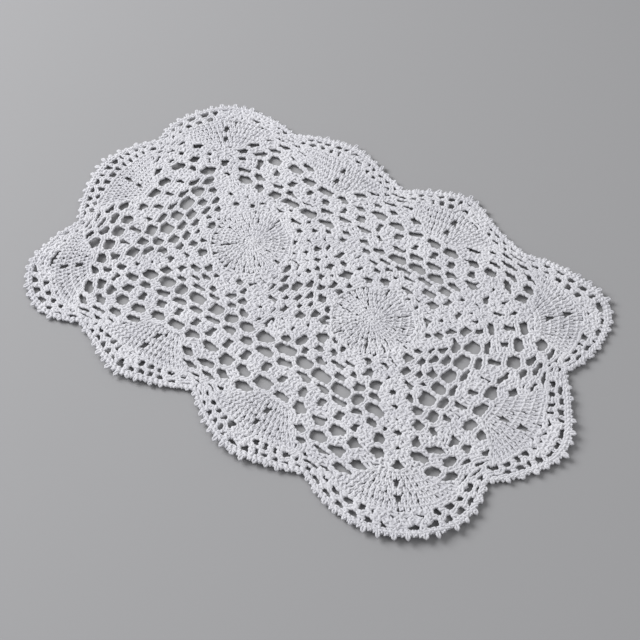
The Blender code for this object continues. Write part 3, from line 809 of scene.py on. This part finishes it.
step = (1 - FIRST_FAN_SHARE) / (len(LOOP_ROUNDS) - 1)
cell = 2 / MESH_CELLS
for scallop in range(COUNT):
    for number in range(1, len(LOOP_ROUNDS)):
        levels = LOOP_ROUNDS[number - 1 : number + 1]
        for loop in range(len(LOOP_ROUNDS) - number):
            v = FIRST_FAN_SHARE + step * (number + 2 * loop)
            closer = np.interp(fan_point(scallop, v, levels[0])[1], FRONT_TO_BACK, (0, LOOPS_CLOSER))
            above = LOOP_RING_ROOM + closer
            holes.append(fan_hole("loop", scallop, v, 2 * step, *levels, LOOP_ROOM, above))
    more = MESH_CORNER if CORNER[scallop] else 0.0
    room = MESH_ROOM + more, MESH_RING_ROOM + more
    for n in range(MESH_CELLS):
        v = cell * (n + 0.5) - 1
        if abs(v) < MESH_REACH and n not in range(*MESH_SHUT[scallop]):
            holes.append(fan_hole("mesh", scallop, v, cell, "fan_3", "mesh_1", *room))
        holes.append(fan_hole("outer_mesh", scallop, cell * n - 1, cell, "mesh_1", "mesh_2", *room))
print(len(holes), "holes in the whole doily")

# %% [markdown]
# A fan stands on every scallop's root: rounds of stitches that spread like fingers, each in two
# halves, with a small hole on the axis in every other round.

# %% The fans
FAN_ROUNDS = 5
FAN_WIDE = (0.28, 0.80)  # half the fan's width at its foot and at its top, as shares of a half scallop
AXIS_HOLE, HOLE_NARROWS = 0.05, 3  # the same for the hole on the axis, and how much narrower its top is
FAN_LAP = 0.01  # how far a round lies past its line, as a share of the way out
OPEN_SNUG = 0.96  # SNUG for a fan, whose rows show small dark gaps between their posts
LINE_POINTS = 13  # worked out along a line of a scallop


def fan_line(scallop, first, last, name, beyond=0.0):
    """A line along a scallop, from one share of its half to another."""
    return [fan_point(scallop, v, name, beyond) for v in np.linspace(first, last, LINE_POINTS)]


threads = []
for scallop in range(COUNT):
    for number in range(FAN_ROUNDS):
        low, high = number / FAN_ROUNDS, (number + 1) / FAN_ROUNDS
        wide_base, wide_top = np.interp((low, high), (0, 1), FAN_WIDE)
        hole = AXIS_HOLE if number % 2 else 0.0
        for side in (-1, 1):
            base = sorted((side * hole, side * wide_base))
            top = sorted((side * hole / HOLE_NARROWS, side * wide_top))
            lines = fan_line(scallop, *base, low, FAN_LAP), fan_line(scallop, *top, high, FAN_LAP)
            row(threads, *lines, loose=0.3, snug=OPEN_SNUG)
crochet("fans", threads, COTTON)

# %% [markdown]
# Every strand of thread runs between two holes that are next to each other. To find the neighbours,
# each hole is marked by spots, a row of them or, for a hole with corners, a grid. All the spots are
# joined into triangles, and a strand runs through those that have a spot of each of its two holes.

# %% Spots and the ways between them
SPOT_PITCH = 1.8  # between two spots of a hole
SQUARE_KINDS = ("bars", "blocks", "windows", "mesh", "outer_mesh")  # holes that have corners
SQUARE_SHARE = 0.5  # how round their corners are, as a share of the smaller half size


def hole_spots(kind, place, axis, halves):
    """The spots that mark a hole: one row of them, or more for a hole with corners."""
    radius = min(halves) * (SQUARE_SHARE if kind in SQUARE_KINDS else 1.0)
    across = np.array((-axis[1], axis[0]))
    along_x, along_y = (
        np.linspace(radius - half, half - radius, 1 + round(2 * (half - radius) / SPOT_PITCH))
        if half > radius else [0.0] for half in halves
    )
    return [(place + axis * i + across * j, radius) for i in along_x for j in along_y]


def meeting(three):
    """Where strands pass in a triangle of spots, and the nearest place on the rim of each hole."""
    middles, weights = [], []
    for i in range(3):
        (first, start, near), (second, end, far) = three[i - 1], three[i]
        if first != second:
            distance = np.linalg.norm(end - start)
            middles.append(start + (end - start) * (near + distance - far) / (2 * distance))
            weights.append(distance**-3)
    if not middles:
        return three[0][1], {}
    place = np.average(middles, axis=0, weights=weights)
    rims = {}
    for hole, spot, radius in three:
        rim = spot + unit(place - spot) * radius
        if hole not in rims or np.linalg.norm(rim - place) < np.linalg.norm(rims[hole] - place):
            rims[hole] = rim
    return place, rims


def walks(pairs):
    """Chains of triangles, from the steps between two of them."""
    beside = {}
    for one, other in pairs:
        beside.setdefault(one, []).append(other)
        beside.setdefault(other, []).append(one)
    while beside:
        now = next((one for one in beside if len(beside[one]) == 1), next(iter(beside)))
        walk = [now]
        while beside.get(now):
            onward = beside[now].pop()
            beside[onward].remove(now)
            walk.append(onward)
            now = onward
        beside = {one: others for one, others in beside.items() if others}
        yield walk


print("spots are about", SPOT_PITCH, "mm apart")

# %% [markdown]
# A strand is as wide as the room between its two holes. Where there is room for one stitch only, it
# is a chain of links. Where there is more, posts stand side by side and the cloth is solid.

# %% The strands between the holes
STITCH_ROOM = 2.9  # width of cloth that one stitch or chain fills
STITCH_TALL, SHORTEST = 5.5, 0.4  # the longest that one post stands, and the shortest strand
CHAIN_HALVES = (0.25, 1.0)  # the least and the most half width of a chain
KNOT = 0.6  # how far a strand runs past the place where it joins others
SAME_PLACE = 1e-5  # spots closer than this count as one


def strands(threads, places, rims, upright):
    """Fills the room between the rims of two holes with a chain, or with stitches side by side."""
    room = sum(np.linalg.norm(rim - places, axis=1) for rim in rims)
    count = max(1, round((room.min() + room.mean()) / 2 / STITCH_ROOM))
    for number in range(count):
        lean = (2 * number + 1) / count - 1
        path = places + (rims[1 if lean > 0 else 0] - places) * abs(lean)
        if walked(path)[-1] < SHORTEST:
            continue
        path[0] -= unit(path[1] - path[0]) * KNOT
        path[-1] += unit(path[-1] - path[-2]) * KNOT
        even = evenly(path, STITCH_TALL if upright or count > 1 else LINK_PITCH)
        so_far = walked(path)
        halves = np.interp(np.linspace(0, 1, len(even)) * so_far[-1], so_far, room / count / 2)
        if upright or count > 1:
            halves = np.clip(halves * (SNUG if count > 1 else 1), *POST_HALVES)
            posts(threads, even[:-1], even[1:], halves[:-1], halves[1:])
        else:
            halves = np.clip((halves[:-1] + halves[1:]) / 2 - THREAD, *CHAIN_HALVES)
            links(threads, even, half=halves)


def fill_between(holes, cloth, choose):
    """Lays the strands between all these holes and the solid cloth that they are next to."""
    kinds = [kind for kind, *_ in holes] + [kind for kind, *_ in cloth]
    spots = [(number, *spot) for number, hole in enumerate(holes) for spot in hole_spots(*hole)]
    spots += [(len(holes) + number, place, radius) for number, (_, places, radius) in enumerate(cloth)
              for place in places]
    found = delaunay_2d_cdt([Vector(place) for _, place, _ in spots], [], [], 0, SAME_PLACE)
    triangles = [[found[3][corner][0] for corner in triangle] for triangle in found[2]]
    meetings = [meeting([spots[i] for i in three]) for three in triangles]
    by_side, steps = {}, {}
    for number, three in enumerate(triangles):
        for i in range(3):
            by_side.setdefault(tuple(sorted((three[i - 1], three[i]))), []).append(number)
    for (first, second), sides in by_side.items():
        pair = tuple(sorted((spots[first][0], spots[second][0])))
        if len(sides) == 2 and pair[0] != pair[1]:
            steps.setdefault(pair, []).append(sides)
    for pair, sides in steps.items():
        threads, upright = choose(*(kinds[hole] for hole in pair))
        if threads is None:
            continue
        for walk in walks(sides):
            places = np.array([meetings[number][0] for number in walk])
            rims = [np.array([meetings[number][1][hole] for number in walk]) for hole in pair]
            strands(threads, places, rims, upright)


print("a stitch fills", STITCH_ROOM, "mm")

# %% [markdown]
# Everything between the holes is now filled in one go, so that all the rounds join. The medallions,
# the fans and the rim count as solid cloth, because they have their own stitches.

# %% Filling in
DISC_RIM, DISC_SPOTS = 2.6, 29  # radius of the spots that mark a medallion's rim, and their count
FAN_RIM, FAN_INSET = 1.2, 0.04  # the same for a fan, and how far from its sides they are, as FAN_WIDE
FAN_FROM, FAN_REACH = 0.1, 0.82  # where they start and how far they go, as shares of its height
RIM_SIZE, RIM_BEYOND = 1.5, 0.08  # the rim's spots: their radius, and how far past the mesh, as a share
pieces = {"netting": [], "straight_rounds": [], "loops": [], "mesh_rounds": []}
around = np.linspace(0, 2 * math.pi, DISC_SPOTS + 1)[:-1]
cloth = [("disc", circle(centre, MEDALLION_RADIUS - DISC_RIM, around), DISC_RIM)
         for centre in MEDALLIONS.values()]
rim_marks = [p for i in range(COUNT) for p in fan_line(i, -1, 1, "mesh_2", RIM_BEYOND)]
cloth.append(("rim", rim_marks, RIM_SIZE))
for scallop in range(COUNT):
    marks = []
    for share in np.linspace(0, 1, FAN_ROUNDS + 1):
        wide = np.interp(share, (0, 1), FAN_WIDE) - FAN_INSET
        marks += fan_line(scallop, -wide, wide, FAN_FROM + FAN_REACH * share)
    cloth.append(("fan", marks, FAN_RIM))


def choose(first, second):
    """The piece that a strand belongs to, and whether it is an upright stitch."""
    both = {first, second}
    if both <= {"disc", "rim", "fan"} or "rim" in both:
        return None, False
    if both <= {"net", "disc"}:
        return pieces["netting"], False
    if both & {"net", "bars", "blocks", "windows"}:
        return pieces["straight_rounds"], first == second
    if both <= {"loop", "fan"}:
        return pieces["loops"], False
    return pieces["mesh_rounds"], first == second


fill_between(holes, cloth, choose)
for name, threads in pieces.items():
    crochet(name, threads, COTTON)

# %% [markdown]
# The edging is a chain with a round of short stitches on it. Every few stitches a little loop of
# chain, a picot, stands out from it.

# %% The edging
RIM_PITCH, RIM_INSIDE = 2.5, -0.02  # of the short stitches, and their move outwards, as a share
PICOTS = {"side": 14, "corner": 16}  # along a scallop
PICOT_FOOT, PICOT_TOP = -0.05, (0.013, 0.01)  # shares past the edging: its start; its end and scatter
PICOT_HALVES, PICOT_LIFTS = (0.6, 0.95), (0, 0.5)  # the least and the most
PICOT_THREAD, PICOT_ASTRAY = 0.58, 0.08  # half its thickness, and its scatter as a share of its room
threads = []
turns = np.linspace(-1, 1, STEPS, endpoint=False)
ring = [fan_point(scallop, v, "mesh_2") for scallop in range(COUNT) for v in turns]
links(threads, evenly([*ring, ring[0]]), half=0.85, lift=-0.1, loose=0.3)
for scallop in range(COUNT):
    low, high = (fan_line(scallop, -1, 1, name, RIM_INSIDE) for name in ("mesh_2", "edging"))
    row(threads, low, high, RIM_PITCH)
    teeth = PICOTS["corner" if CORNER[scallop] else "side"]
    for n in range(teeth):
        v = (n + 0.5 + chance.normal(0, PICOT_ASTRAY)) / teeth * 2 - 1
        reaches = PICOT_FOOT, chance.normal(*PICOT_TOP)
        ends = [fan_point(scallop, v, "edging", beyond) for beyond in reaches]
        half, lift = chance.uniform(*PICOT_HALVES), chance.uniform(*PICOT_LIFTS)
        links(threads, ends, half=half, thick=PICOT_THREAD, lift=lift, loose=0.3)
crochet("edging", threads, COTTON)

# %% [markdown]
# The area of the cloth is worked out from the solid doily, and the boxes of both models are measured.

# %% The cloth's area and the boxes
solid = bmesh.new()
solid.from_mesh(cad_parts["doily"].data)
size = CAD_BOX[1] - CAD_BOX[0]
cloth_area = abs(solid.calc_volume()) / size.z
solid.free()
print(f"without its larger gaps the cloth covers {cloth_area:.4f} square metres")
new_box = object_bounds()
boxes = {"cad": CAD_BOX, "visual": new_box}
{name: [list(corner) for corner in box] for name, box in boxes.items()}
print("the visual model's box is", [round(size / MM, 1) for size in new_box[1] - new_box[0]], "mm")
